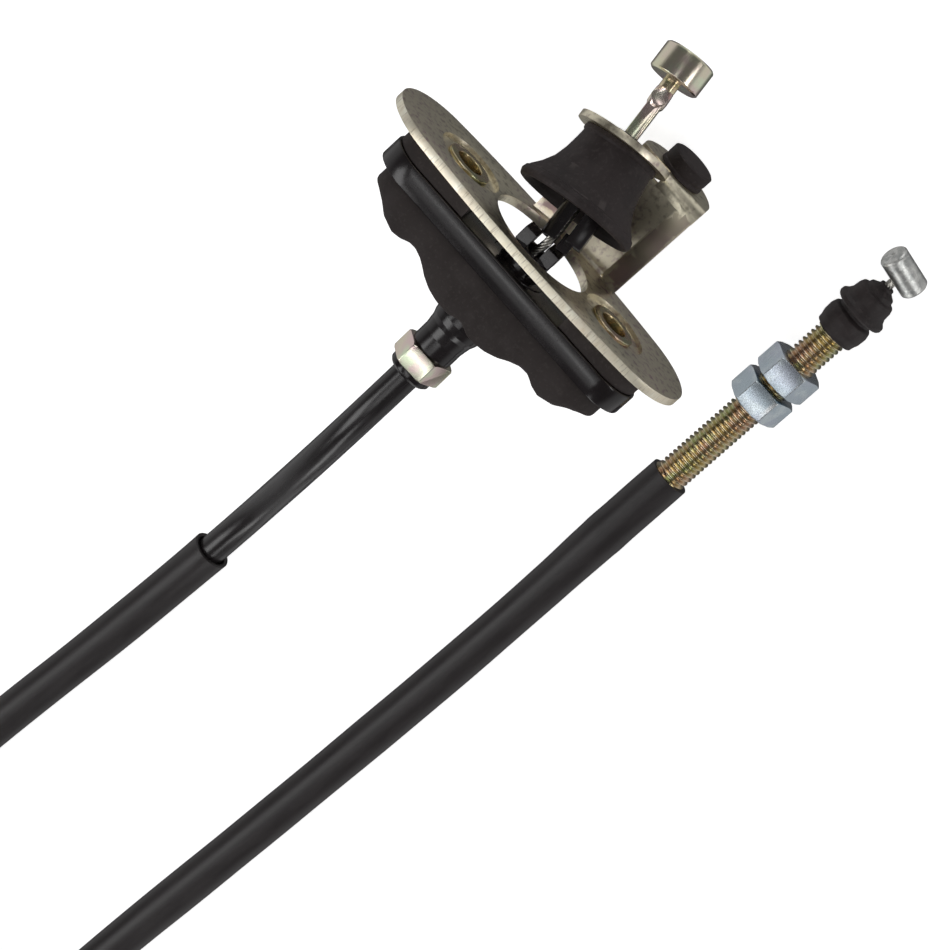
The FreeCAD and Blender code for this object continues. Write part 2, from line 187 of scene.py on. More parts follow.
def stadiumStack(name, rings, material):  # rings are (x, half length, half height)
    bm = bmesh.new()
    loops = []
    for x, halfLength, halfHeight in rings:
        loops.append([bm.verts.new(mm(x, y, z)) for y, z in stadiumLoop(halfLength, halfHeight)])
    size = len(loops[0])
    for first, second in zip(loops, loops[1:]):
        for n in range(size):
            bm.faces.new((first[n], second[n], second[(n + 1) % size], first[(n + 1) % size]))
    bm.faces.new(loops[0])
    bm.faces.new(loops[-1])
    return finishMesh(name, bm, material)


def roundedRings(xFrom, xTo, halfLength, halfHeight, corner):  # a slab's rings with its two rims rounded
    steps = 5
    rings = []
    direction = 1 if xTo > xFrom else -1
    for first in (True, False):
        for n in range(steps + 1):
            angle = math.pi / 2 * n / steps
            rise, inset = corner * (1 - math.cos(angle)), corner * (1 - math.sin(angle))
            if not first:
                rise, inset = inset, rise
            x = xFrom + direction * rise if first else xTo - direction * rise
            rings.append((x, halfLength - inset, halfHeight - inset))
    return rings


def cutAway(piece, cutters):
    for cutter in cutters:
        modifier = piece.modifiers.new("cut", "BOOLEAN")
        modifier.object = cutter
        modifier.operation = "DIFFERENCE"
        modifier.solver = "EXACT"
    bake(piece)
    for cutter in cutters:
        mesh = cutter.data
        bpy.data.objects.remove(cutter)
        bpy.data.meshes.remove(mesh)
    smoothUnder(piece.data, meshSet["smoothAngle"])


def roundCutter(radius, place, low, high):
    return lathe("cutter", [(0, low), (radius, low), (radius, high), (0, high)], place, steelBright, 64)


def boxCutter(place, low, high):
    bm = bmesh.new()
    bmesh.ops.create_cube(bm, size=1.0)
    for vert in bm.verts:
        local = Vector(low[i] + (high[i] - low[i]) * (vert.co[i] + 0.5) for i in range(3))
        vert.co = place @ (local * 0.001)
    return finishMesh("cutter", bm, steelBright)


def softenEdges(piece, width, segments, angle):
    modifier = piece.modifiers.new("soften", "BEVEL")
    modifier.width = width * 0.001
    modifier.segments = segments
    modifier.limit_method = "ANGLE"
    modifier.angle_limit = math.radians(angle)
    bake(piece)


def fromCad(name, node, material, bevel, segments):  # a welded copy with softened edges
    smoothAngle = 30.0
    bm = bmesh.new()
    bm.from_mesh(frame["nodes"][node].data)
    bmesh.ops.remove_doubles(bm, verts=bm.verts, dist=meshSet["cadWeld"])
    flat = math.radians(meshSet["flatAngle"])
    bmesh.ops.dissolve_limit(bm, angle_limit=flat, verts=bm.verts, edges=bm.edges)
    piece = finishMesh(name, bm, material, smoothAngle)
    softenEdges(piece, bevel, segments, meshSet["bevelAngle"])
    smoothUnder(piece.data, smoothAngle)
    return piece


# Shared shader groups.


def startGroup(name, inputs, outputs):
    group = bpy.data.node_groups.new(name, "ShaderNodeTree")
    for socketName, socketType, value in inputs:
        socket = group.interface.new_socket(socketName, in_out="INPUT", socket_type=socketType)
        socket.default_value = value
    for socketName, socketType in outputs:
        group.interface.new_socket(socketName, in_out="OUTPUT", socket_type=socketType)
    start = group.nodes.new("NodeGroupInput")
    end = group.nodes.new("NodeGroupOutput")
    return group, start, end


def noiseIn(group, vector, scale, detail, roughness=0.5):
    node = group.nodes.new("ShaderNodeTexNoise")
    node.inputs["Detail"].default_value = detail
    node.inputs["Roughness"].default_value = roughness
    group.links.new(vector, node.inputs["Vector"])
    if isinstance(scale, (int, float)):
        node.inputs["Scale"].default_value = scale
    else:
        group.links.new(scale, node.inputs["Scale"])
    return node.outputs["Fac"]


def mathIn(tree, operation, a, b=0.0, clamp=False):
    node = tree.nodes.new("ShaderNodeMath")
    node.operation = operation
    node.use_clamp = clamp
    for socket, value in zip(node.inputs, (a, b)):
        if isinstance(value, (int, float)):
            socket.default_value = value
        else:
            tree.links.new(value, socket)
    return node.outputs[0]


def mixColor(tree, factor, a, b):
    node = tree.nodes.new("ShaderNodeMix")
    node.data_type = "RGBA"
    for socket, value in ((node.inputs[0], factor), (node.inputs[6], a), (node.inputs[7], b)):
        if isinstance(value, (int, float)):
            socket.default_value = value
        elif isinstance(value, tuple):
            socket.default_value = (*value, 1.0)
        else:
            tree.links.new(value, socket)
    return node.outputs[2]


def spread(tree, value, low, high, toLow=0.0, toHigh=1.0):
    node = tree.nodes.new("ShaderNodeMapRange")
    node.interpolation_type = "SMOOTHSTEP"
    tree.links.new(value, node.inputs["Value"])
    for key, number in (("From Min", low), ("From Max", high), ("To Min", toLow), ("To Max", toHigh)):
        node.inputs[key].default_value = number
    return node.outputs["Result"]


cloudSet = {"shift": (3.1, 1.7, 5.3), "smallScale": 2.6, "largeEdges": (0.38, 0.62), "smallEdges": (0.45, 0.7)}
grainSet = {"coarseScale": 0.3, "fineShare": 0.7, "coarseShare": 0.3, "speckEdges": (0.52, 0.68)}
rubSet = {"edges": (0.52, 0.6), "breaks": (0.25, 0.55)}
streakSet = {"scuffScale": 3.7, "scuffEdges": (0.55, 0.75)}


def makePlatingGroup():  # cloudy passivated zinc: three colours that drift into each other
    group, start, end = startGroup(
        "platingClouds",
        [("Scale", "NodeSocketFloat", 60.0), ("First", "NodeSocketColor", (0.5, 0.5, 0.4, 1)),
         ("Second", "NodeSocketColor", (0.5, 0.4, 0.45, 1)), ("Third", "NodeSocketColor", (0.6, 0.6, 0.4, 1))],
        [("Color", "NodeSocketColor"), ("Cloud", "NodeSocketFloat")])
    place = group.nodes.new("ShaderNodeTexCoord").outputs["Object"]
    large = noiseIn(group, place, start.outputs["Scale"], 3.0)
    moved = group.nodes.new("ShaderNodeMapping")
    moved.inputs["Location"].default_value = cloudSet["shift"]
    group.links.new(place, moved.inputs["Vector"])
    smallScale = mathIn(group, "MULTIPLY", start.outputs["Scale"], cloudSet["smallScale"])
    small = noiseIn(group, moved.outputs["Vector"], smallScale, 5.0)
    largeMask = spread(group, large, *cloudSet["largeEdges"])
    blended = mixColor(group, largeMask, start.outputs["First"], start.outputs["Second"])
    final = mixColor(group, spread(group, small, *cloudSet["smallEdges"]), blended, start.outputs["Third"])
    group.links.new(final, end.inputs["Color"])
    group.links.new(large, end.inputs["Cloud"])
    return group


def makeGrainGroup():  # fine surface grain: a height and a mask
    group, start, end = startGroup(
        "fineGrain",
        [("Scale", "NodeSocketFloat", 900.0), ("Stretch", "NodeSocketVector", (1, 1, 1))],
        [("Height", "NodeSocketFloat"), ("Specks", "NodeSocketFloat")])
    place = group.nodes.new("ShaderNodeTexCoord").outputs["Object"]
    stretched = group.nodes.new("ShaderNodeVectorMath")
    stretched.operation = "MULTIPLY"
    group.links.new(place, stretched.inputs[0])
    group.links.new(start.outputs["Stretch"], stretched.inputs[1])
    fine = noiseIn(group, stretched.outputs[0], start.outputs["Scale"], 6.0, 0.62)
    coarseScale = mathIn(group, "MULTIPLY", start.outputs["Scale"], grainSet["coarseScale"])
    coarse = noiseIn(group, stretched.outputs[0], coarseScale, 3.0)
    height = mathIn(group, "ADD", mathIn(group, "MULTIPLY", fine, grainSet["fineShare"]),
                    mathIn(group, "MULTIPLY", coarse, grainSet["coarseShare"]))
    group.links.new(height, end.inputs["Height"])
    group.links.new(spread(group, fine, *grainSet["speckEdges"]), end.inputs["Specks"])
    return group


def makeWearGroup():  # a mask that is 1 on outer edges and 0 elsewhere, broken up a little
    group, start, end = startGroup(
        "edgeRub",
        [("Amount", "NodeSocketFloat", 1.0), ("Scale", "NodeSocketFloat", 500.0)],
        [("Mask", "NodeSocketFloat")])
    sharp = group.nodes.new("ShaderNodeNewGeometry").outputs["Pointiness"]
    place = group.nodes.new("ShaderNodeTexCoord").outputs["Object"]
    breakUp = noiseIn(group, place, start.outputs["Scale"], 4.0)
    edge = spread(group, sharp, *rubSet["edges"])
    mask = mathIn(group, "MULTIPLY", edge, spread(group, breakUp, *rubSet["breaks"]))
    group.links.new(mathIn(group, "MULTIPLY", mask, start.outputs["Amount"], True), end.inputs["Mask"])
    return group


def makeStreakGroup():  # long soft marks that run the length of a drawn tube, from its own UV map
    group, start, end = startGroup(
        "drawnStreaks",
        [("Around", "NodeSocketFloat", 14.0), ("Along", "NodeSocketFloat", 10.0)],
        [("Streaks", "NodeSocketFloat"), ("Scuffs", "NodeSocketFloat")])
    uv = group.nodes.new("ShaderNodeTexCoord").outputs["UV"]
    split = group.nodes.new("ShaderNodeSeparateXYZ")
    group.links.new(uv, split.inputs[0])
    turn = mathIn(group, "MULTIPLY", split.outputs["X"], 2 * math.pi)
    joined = group.nodes.new("ShaderNodeCombineXYZ")
    parts = ((mathIn(group, "COSINE", turn), "Around"), (mathIn(group, "SINE", turn), "Around"),
             (split.outputs["Y"], "Along"))
    for socket, (value, key) in zip(joined.inputs, parts):
        group.links.new(mathIn(group, "MULTIPLY", value, start.outputs[key]), socket)
    streak = noiseIn(group, joined.outputs[0], 1.0, 4.0)
    scuff = noiseIn(group, joined.outputs[0], streakSet["scuffScale"], 8.0, 0.7)
    group.links.new(streak, end.inputs["Streaks"])
    group.links.new(spread(group, scuff, *streakSet["scuffEdges"]), end.inputs["Scuffs"])
    return group


platingClouds = makePlatingGroup()
fineGrain = makeGrainGroup()
edgeRub = makeWearGroup()
drawnStreaks = makeStreakGroup()


# Materials.


platedSet = {"rubScale": 700.0, "roughSwing": 0.16, "roughDrop": 0.08}
rubberSet = {"rubScale": 400.0, "roughSwing": 0.2, "roughDrop": 0.1}


def startMaterial(name, metallic, roughness):
    material = bpy.data.materials.new(name)
    material.use_nodes = True
    tree = material.node_tree
    shader = tree.nodes["Principled BSDF"]
    shader.inputs["Metallic"].default_value = metallic
    shader.inputs["Roughness"].default_value = roughness
    return material, tree, shader


def addGroup(tree, group, **values):
    node = tree.nodes.new("ShaderNodeGroup")
    node.node_tree = group
    for key, value in values.items():
        socket = node.inputs[key]
        socket.default_value = (*value, 1.0) if socket.type == "RGBA" else value
    return node


def addBump(tree, shader, height, distance):
    bump = tree.nodes.new("ShaderNodeBump")
    bump.inputs["Distance"].default_value = distance * 0.001
    tree.links.new(height, bump.inputs["Height"])
    tree.links.new(bump.outputs["Normal"], shader.inputs["Normal"])


def addRoughness(tree, shader, value, swing, base):
    rough = mathIn(tree, "ADD", mathIn(tree, "MULTIPLY", value, swing), base)
    tree.links.new(rough, shader.inputs["Roughness"])


def makePlated(name, look):  # zinc plated steel in a few tints
    material, tree, shader = startMaterial(name, 1.0, look["roughness"])
    clouds = addGroup(tree, platingClouds, Scale=look["cloudScale"], First=look["first"],
                      Second=look["second"], Third=look["third"])
    grain = addGroup(tree, fineGrain, Scale=look["grainScale"], Stretch=look.get("stretch", (1, 1, 1)))
    rub = addGroup(tree, edgeRub, Amount=look["rub"], Scale=platedSet["rubScale"])
    specks = mathIn(tree, "MULTIPLY", grain.outputs["Specks"], look["specks"])
    speckled = mixColor(tree, specks, clouds.outputs["Color"], look["speckColor"])
    worn = mixColor(tree, rub.outputs["Mask"], speckled, look["edge"])
    tree.links.new(worn, shader.inputs["Base Color"])
    addRoughness(tree, shader, grain.outputs["Height"], platedSet["roughSwing"],
                 look["roughness"] - platedSet["roughDrop"])
    addBump(tree, shader, grain.outputs["Height"], look["bump"])
    return material


def makeRubber(name, look):  # moulded rubber: dull, faintly dusty and speckled
    material, tree, shader = startMaterial(name, 0.0, look["roughness"])
    shader.inputs["Specular IOR Level"].default_value = look["specular"]
    grain = addGroup(tree, fineGrain, Scale=look["grainScale"])
    clouds = addGroup(tree, platingClouds, Scale=look["cloudScale"], First=look["first"],
                      Second=look["second"], Third=look["second"])
    rub = addGroup(tree, edgeRub, Amount=look["rub"], Scale=rubberSet["rubScale"])
    specks = mathIn(tree, "MULTIPLY", grain.outputs["Specks"], look["specks"])
    dusty = mixColor(tree, specks, clouds.outputs["Color"], look["dust"])
    tree.links.new(mixColor(tree, rub.outputs["Mask"], dusty, look["dust"]), shader.inputs["Base Color"])
    addRoughness(tree, shader, clouds.outputs["Cloud"], rubberSet["roughSwing"],
                 look["roughness"] - rubberSet["roughDrop"])
    addBump(tree, shader, grain.outputs["Height"], look["bump"])
    return material


def makeTubing(name, look):  # extruded sheath with streaks along it
    material, tree, shader = startMaterial(name, 0.0, look["roughness"])
    shader.inputs["Specular IOR Level"].default_value = look["specular"]
    streaks = addGroup(tree, drawnStreaks, Around=look["around"], Along=look["along"])
    grain = addGroup(tree, fineGrain, Scale=look["grainScale"])
    tinted = mixColor(tree, spread(tree, streaks.outputs["Streaks"], 0.35, 0.65), look["first"], look["second"])
    scuffs = mathIn(tree, "MULTIPLY", streaks.outputs["Scuffs"], look["scuffs"])
    tree.links.new(mixColor(tree, scuffs, tinted, look["dust"]), shader.inputs["Base Color"])
    addRoughness(tree, shader, streaks.outputs["Streaks"], look["roughSpread"], look["roughness"])
    grainPart = mathIn(tree, "MULTIPLY", grain.outputs["Height"], look["grainShare"])
    height = mathIn(tree, "ADD", streaks.outputs["Streaks"], grainPart)
    addBump(tree, shader, height, look["bump"])
    return material


stampedZinc = makePlated("stampedZinc", {
    "roughness": 0.36, "cloudScale": 22.0, "first": (0.46, 0.41, 0.31), "second": (0.54, 0.40, 0.40),
    "third": (0.47, 0.43, 0.32), "grainScale": 2600.0, "specks": 0.05, "speckColor": (0.60, 0.55, 0.44),
    "rub": 0.8, "edge": (0.90, 0.84, 0.66), "bump": 0.008})
shearedSteel = makePlated("shearedSteel", {
    "roughness": 0.44, "cloudScale": 90.0, "first": (0.90, 0.84, 0.66), "second": (0.80, 0.71, 0.55),
    "third": (0.97, 0.93, 0.78), "grainScale": 1500.0, "stretch": (0.15, 1.6, 1.6), "specks": 0.8,
    "speckColor": (0.42, 0.35, 0.24), "rub": 0.3, "edge": (0.98, 0.95, 0.84), "bump": 0.08})
goldZinc = makePlated("goldZinc", {
    "roughness": 0.25, "cloudScale": 130.0, "first": (0.58, 0.48, 0.26), "second": (0.60, 0.43, 0.32),
    "third": (0.52, 0.54, 0.32), "grainScale": 1600.0, "specks": 0.2, "speckColor": (0.75, 0.70, 0.48),
    "rub": 0.9, "edge": (0.94, 0.86, 0.62), "bump": 0.008})
oliveZinc = makePlated("oliveZinc", {
    "roughness": 0.22, "cloudScale": 75.0, "first": (0.78, 0.76, 0.55), "second": (0.76, 0.60, 0.58),
    "third": (0.74, 0.82, 0.60), "grainScale": 1300.0, "specks": 0.12, "speckColor": (0.80, 0.77, 0.62),
    "rub": 0.9, "edge": (0.95, 0.92, 0.80), "bump": 0.006})
blueZinc = makePlated("blueZinc", {
    "roughness": 0.27, "cloudScale": 120.0, "first": (0.42, 0.49, 0.54), "second": (0.46, 0.50, 0.57),
    "third": (0.55, 0.61, 0.64), "grainScale": 1900.0, "stretch": (1.0, 2.0, 2.0), "specks": 0.35,
    "speckColor": (0.28, 0.33, 0.36), "rub": 1.0, "edge": (0.95, 0.97, 0.98), "bump": 0.012})
castZinc = makePlated("castZinc", {
    "roughness": 0.42, "cloudScale": 420.0, "first": (0.60, 0.60, 0.58), "second": (0.42, 0.43, 0.42),
    "third": (0.74, 0.74, 0.71), "grainScale": 2200.0, "specks": 0.45, "speckColor": (0.82, 0.82, 0.80),
    "rub": 0.6, "edge": (0.88, 0.88, 0.86), "bump": 0.03})
steelBright = makePlated("steelBright", {
    "roughness": 0.30, "cloudScale": 240.0, "first": (0.50, 0.48, 0.44), "second": (0.38, 0.37, 0.34),
    "third": (0.62, 0.60, 0.55), "grainScale": 2200.0, "specks": 0.1, "speckColor": (0.7, 0.69, 0.66),
    "rub": 0.2, "edge": (0.8, 0.79, 0.76), "bump": 0.004})
damperRubber = makeRubber("damperRubber", {
    "roughness": 0.62, "specular": 0.32, "grainScale": 1100.0, "cloudScale": 90.0, "first": (0.020, 0.014, 0.014),
    "second": (0.032, 0.024, 0.024), "specks": 0.3, "dust": (0.075, 0.062, 0.060), "rub": 0.6, "bump": 0.05})
sealRubber = makeRubber("sealRubber", {
    "roughness": 0.70, "specular": 0.28, "grainScale": 1300.0, "cloudScale": 70.0, "first": (0.024, 0.018, 0.017),
    "second": (0.034, 0.027, 0.026), "specks": 0.25, "dust": (0.075, 0.064, 0.060), "rub": 0.5, "bump": 0.035})
dustRubber = makeRubber("dustRubber", {
    "roughness": 0.55, "specular": 0.38, "grainScale": 900.0, "cloudScale": 150.0, "first": (0.016, 0.011, 0.011),
    "second": (0.026, 0.019, 0.019), "specks": 0.25, "dust": (0.06, 0.048, 0.047), "rub": 0.5, "bump": 0.05})
glossNylon = makeRubber("glossNylon", {
    "roughness": 0.19, "specular": 0.42, "grainScale": 700.0, "cloudScale": 80.0, "first": (0.008, 0.006, 0.0065),
    "second": (0.013, 0.010, 0.011), "specks": 0.1, "dust": (0.035, 0.03, 0.031), "rub": 0.35, "bump": 0.004})
conduitSheath = makeTubing("conduitSheath", {
    "roughness": 0.20, "roughSpread": 0.14, "specular": 0.5, "around": 3.0, "along": 16.0, "grainScale": 500.0,
    "first": (0.012, 0.010, 0.0105), "second": (0.018, 0.015, 0.016), "scuffs": 0.15, "dust": (0.05, 0.047, 0.048),
    "grainShare": 0.15, "bump": 0.02})
shrinkSleeve = makeTubing("shrinkSleeve", {
    "roughness": 0.36, "roughSpread": 0.14, "specular": 0.42, "around": 2.2, "along": 9.0, "grainScale": 900.0,
    "first": (0.016, 0.0125, 0.013), "second": (0.023, 0.019, 0.0195), "scuffs": 0.2, "dust": (0.05, 0.044, 0.043),
    "grainShare": 0.3, "bump": 0.02})
print("materials made")


# Camera and light.

cameraSpot = {"place": (0.2601, -0.0270, 0.9147), "right": (0.709, -0.664, -0.237),  # place in m
              "up": (0.630, 0.748, -0.211), "lens": 169.2, "sensor": 36.0, "clip": (0.02, 20.0)}


def makeCamera():
    right = Vector(cameraSpot["right"]).normalized()
    up = Vector(cameraSpot["up"])
    up = (up - right * up.dot(right)).normalized()
    back = right.cross(up)
    data = bpy.data.cameras.new("studioCamera")
    data.sensor_width = cameraSpot["sensor"]
    data.lens = cameraSpot["lens"]
    data.clip_start, data.clip_end = cameraSpot["clip"]
    camera = addObject("studioCamera", data)
    turn = Matrix((right, up, back)).transposed().to_4x4()
    camera.matrix_world = Matrix.Translation(Vector(cameraSpot["place"])) @ turn
    bpy.context.scene.camera = camera


makeCamera()

lampTarget = Vector((-0.04, -0.03, 0.0))
lampSet = {  # place and size in m, power in W
    "topBox": ((-0.42, -0.03, 1.10), (0.6, 0.45), 0.75),
    "keyBox": ((-0.75, 0.55, 0.85), (0.8, 0.5), 4.6),
    "rightBox": ((0.30, -0.95, 0.60), (0.7, 0.25), 2.6),
    "frontStrip": ((0.95, 0.45, 0.50), (0.2, 0.9), 2.0),
    "backStrip": ((-0.9, -0.55, 0.35), (0.2, 0.8), 1.6),
    "lensBox": ((0.40, 0.06, 1.15), (0.22, 0.22), 0.36),
    "overStripA": ((-0.34, 0.088, 1.08), (0.8, 0.034), 0.22),
    "overStripB": ((-0.34, 0.020, 1.08), (0.8, 0.05), 0.30),
}
roomSet = {"lowBand": (-0.82, -0.55), "highBand": (0.0, 0.35), "glow": 0.5, "fill": 0.11}
floorSet = {"halfSize": 3.0, "drop": 0.0004, "color": (0.93, 0.93, 0.93, 1), "roughness": 0.9,  # sizes in m
            "specular": 0.1, "glow": 0.75}


def areaLight(name, place, size, power):
    data = bpy.data.lights.new(name, "AREA")
    data.shape = "RECTANGLE"
    data.size, data.size_y = size
    data.energy = power
    light = addObject(name, data)
    light.location = place
    light.rotation_mode = "QUATERNION"
    light.rotation_quaternion = (lampTarget - Vector(place)).to_track_quat("-Z", "Y")


def makeStudio():
    for name, (place, size, power) in lampSet.items():
        areaLight(name, place, size, power)
    world = bpy.data.worlds.new("softRoom")
    bpy.context.scene.world = world
    world.use_nodes = True
    tree = world.node_tree
    background = tree.nodes["Background"]
    background.inputs["Color"].default_value = (1, 1, 1, 1)
    split = tree.nodes.new("ShaderNodeSeparateXYZ")  # the room glows in a band below eye level
    tree.links.new(tree.nodes.new("ShaderNodeTexCoord").outputs["Generated"], split.inputs[0])
    low = spread(tree, split.outputs["Z"], *roomSet["lowBand"])
    high = spread(tree, split.outputs["Z"], *roomSet["highBand"], 1.0, 0.0)
    glow = mathIn(tree, "MULTIPLY", mathIn(tree, "MULTIPLY", low, high), roomSet["glow"])
    tree.links.new(mathIn(tree, "ADD", glow, roomSet["fill"]), background.inputs["Strength"])
    bpy.context.scene.view_settings.view_transform = "Standard"


def makeFloor():
    bm = bmesh.new()
    bmesh.ops.create_grid(bm, x_segments=2, y_segments=2, size=floorSet["halfSize"])
    bmesh.ops.translate(bm, verts=bm.verts, vec=(0, 0, floorZ - floorSet["drop"]))
    material, tree, shader = startMaterial("paleFloor", 0.0, floorSet["roughness"])
    shader.inputs["Base Color"].default_value = floorSet["color"]
    shader.inputs["Specular IOR Level"].default_value = floorSet["specular"]
    shader.inputs["Emission Color"].default_value = (1, 1, 1, 1)
    shader.inputs["Emission Strength"].default_value = floorSet["glow"]
    ground = finishMesh("floor", bm, material)
    ground.visible_glossy = False
    ground.visible_diffuse = False


makeStudio()
makeFloor()
print("camera, light and floor made")


# Cords.

conduitSet = {"radius": 3.45, "length": 0.094}  # lengths in m
sleeveSet = {"radius": 4.65, "wall": 0.95, "overFerrule": 4.9, "riseFrom": 36.0, "riseOver": 14.0, "mouthDepth": 7.5,
             "mouthFlare": (0.10, 2.5), "lip": (0.12, 19.5, 1.6), "waves": ((0.03, 90.0, 0.0), (0.02, 211.0, 1.3)),
             "length": 0.873}
coilSet = {"centre": (-277.0, -25.1), "radius": 47.0, "startAngle": 65.0, "turnAngle": 590.0, "steps": 26,
           "top": -17.4, "low": -26.65, "fallFrom": 235.0, "fallOver": 115.0}

conduitRoute = [(-34, -0.98, 0), (-41.88, -1.21, 0), (-58, -1.48, 0), (-75, -1.4, -7), (-91, -1.02, -17.6),
                (-101, -0.8, -22.5), (-113, -0.5, -24.66), (-122, -0.2, -26.1)]
pedalRoute = [(-113, -0.5, -24.66), (-124, -0.15, -26.45), (-150, 1.0, -26.65), (-181, 3.1, -26.65),
              (-205, 3.6, -25.0), (-229, 4.8, -19.5)]
engineRoute = [(-226, -53.3, -26.65), (-197, -53.3, -26.65), (-165, -54.5, -26.65), (-130, -55.5, -26.65),
               (-92, -56.3, -26.5), (-62, -56.3, -25.1), (-42, -55.9, -24.8), (-20.7, -55.9, -24.8)]


def coilPoints():  # a stacked coil that goes down to the floor over the side that has one strand
    s = coilSet
    points = []
    for n in range(s["steps"] + 1):
        turned = s["turnAngle"] * n / s["steps"]
        angle = math.radians(s["startAngle"] + turned)
        fall = min(max((turned - s["fallFrom"]) / s["fallOver"], 0.0), 1.0)
        height = s["top"] + (s["low"] - s["top"]) * (3 - 2 * fall) * fall ** 2
        radius = s["radius"] / math.cos(math.radians(s["turnAngle"] / s["steps"] / 2))
        x, y = s["centre"][0] + radius * math.cos(angle), s["centre"][1] + radius * math.sin(angle)
        points.append((x, y, height))
    return points


def routeLine(name, points):  # the smooth line that a route's points give, as plain points
    curve = bpy.data.curves.new(name, "CURVE")
    curve.dimensions = "3D"
    curve.resolution_u = 14
    spline = curve.splines.new("NURBS")
    spline.points.add(len(points) - 1)
    for point, place in zip(spline.points, points):
        point.co = (*mm(*place), 1.0)
    spline.order_u = 3
    spline.use_endpoint_u = True
    holder = addObject(name, curve)
    mesh = bpy.data.meshes.new_from_object(holder)
    line = [vert.co.copy() for vert in mesh.vertices]
    bpy.data.meshes.remove(mesh)
    bpy.data.objects.remove(holder)
    bpy.data.curves.remove(curve)
    return line


def frameAlong(line):  # a position, two side directions and the length so far, at each point
    frames = []
    side = Vector((0, 0, 1))
    run = 0.0
    for k, here in enumerate(line):
        ahead = line[min(k + 1, len(line) - 1)] - line[max(k - 1, 0)]
        ahead.normalize()
        side = (side - ahead * side.dot(ahead)).normalized()
        if k:
            run += (here - line[k - 1]).length
        frames.append((here, side, ahead.cross(side), run))
    return frames


def tubeAlong(name, line, radiusAt, material, wall=0.0, mouth=0.0):
    sides, lipSteps, lipShift, uvLength = 48, 6, 0.0004, 100.0
    frames = frameAlong(line)
    total = frames[-1][3]
    bm = bmesh.new()
    uv = bm.loops.layers.uv.new("UVMap")

    def addRing(place, side, other, radius):
        ring = []
        for k in range(sides):
            angle = 2 * math.pi * k / sides
            outward = side * math.cos(angle) + other * math.sin(angle)
            ring.append(bm.verts.new(place + outward * radius * 0.001))
        return ring

    rings = []
    if wall:  # the open mouth: down the inner wall, then out over a rounded lip
        inner = [f for f in frames if f[3] <= mouth * 0.001]
        for place, side, other, run in reversed(inner):
            rings.append((addRing(place, side, other, radiusAt(run) - wall), -run * 1000))
        place, side, other, run = frames[0]
        ahead = (frames[1][0] - frames[0][0]).normalized()
        for n in range(1, lipSteps):
            angle = math.pi * n / lipSteps
            shift = -math.sin(angle) * wall / 2
            radius = radiusAt(0.0) - wall / 2 - math.cos(angle) * wall / 2
            rings.append((addRing(place + ahead * (shift * 0.001 + wall * lipShift), side, other, radius), 0.0))
    for place, side, other, run in frames:
        rings.append((addRing(place, side, other, radiusAt(run)), run * 1000))
    for (first, v0), (second, v1) in zip(rings, rings[1:]):
        for k in range(sides):
            face = bm.faces.new((first[k], first[(k + 1) % sides], second[(k + 1) % sides], second[k]))
            for loop, (u, v) in zip(face.loops, ((k, v0), (k + 1, v0), (k + 1, v1), (k, v1))):
                loop[uv].uv = (u / sides, v / uvLength)
    bm.faces.new(rings[0][0])
    bm.faces.new(rings[-1][0])
    return finishMesh(name, bm, material, 40.0), total


def makeConduit():
    line = routeLine("conduitLine", conduitRoute)
    piece, total = tubeAlong("conduitTube", line, lambda run: conduitSet["radius"], conduitSheath)
    settle(piece, "cable", "black_sheath", "conduit")
    print("conduit", round(total, 4))


def makeSleeve():
    s = sleeveSet
    line = routeLine("sleeveLine", pedalRoute + coilPoints() + engineRoute)
    total = frameAlong(line)[-1][3]

    def radiusAt(run):  # grows a little where it was shrunk over the adjuster's ferrule, and hugs its end
        left = (total - run) * 1000
        rise = min(max((s["riseFrom"] - left) / s["riseOver"], 0.0), 1.0)
        lip = s["lip"][0] * math.exp(-((left - s["lip"][1]) / s["lip"][2]) ** 2)
        mouth = s["mouthFlare"][0] * math.exp(-run * 1000 / s["mouthFlare"][1])
        wander = sum(height * math.sin(run * rate + shift) for height, rate, shift in s["waves"])
        swell = (s["overFerrule"] - s["radius"]) * rise ** 2 * (3 - 2 * rise)
        return s["radius"] + swell + lip + mouth + wander

    piece, total = tubeAlong("sleeveTube", line, radiusAt, shrinkSleeve, s["wall"], s["mouthDepth"])
    settle(piece, "cable", "sleeve_tube", "sleeve_pedal_run", "sleeve_coil", "sleeve_engine_run", "sleeve_end")
    print("sleeve", round(total, 4))


makeConduit()
makeSleeve()


# Wire rope.

ropeSet = {"radius": 1.05, "strands": 7, "lay": 9.5, "core": 0.45, "step": 0.0004}  # step in m


def startTree(name, inputs):
    tree = bpy.data.node_groups.new(name, "GeometryNodeTree")
    face = tree.interface
    face.new_socket("Geometry", in_out="INPUT", socket_type="NodeSocketGeometry")
    for socketName, kind, value in inputs:
        face.new_socket(socketName, in_out="INPUT", socket_type=kind).default_value = value
    face.new_socket("Geometry", in_out="OUTPUT", socket_type="NodeSocketGeometry")
    return tree, tree.nodes.new("NodeGroupInput"), tree.nodes.new("NodeGroupOutput")


def endTree(tree, end, parts, material):  # joins the parts, makes the instances real and paints them
    n, link = tree.nodes, tree.links.new
    joined = n.new("GeometryNodeJoinGeometry")
    for part in parts:
        link(part, joined.inputs["Geometry"])
    real = n.new("GeometryNodeRealizeInstances")
    link(joined.outputs["Geometry"], real.inputs["Geometry"])
    painted = n.new("GeometryNodeSetMaterial")
    painted.inputs["Material"].default_value = material
    link(real.outputs["Geometry"], painted.inputs["Geometry"])
    link(painted.outputs["Geometry"], end.inputs["Geometry"])


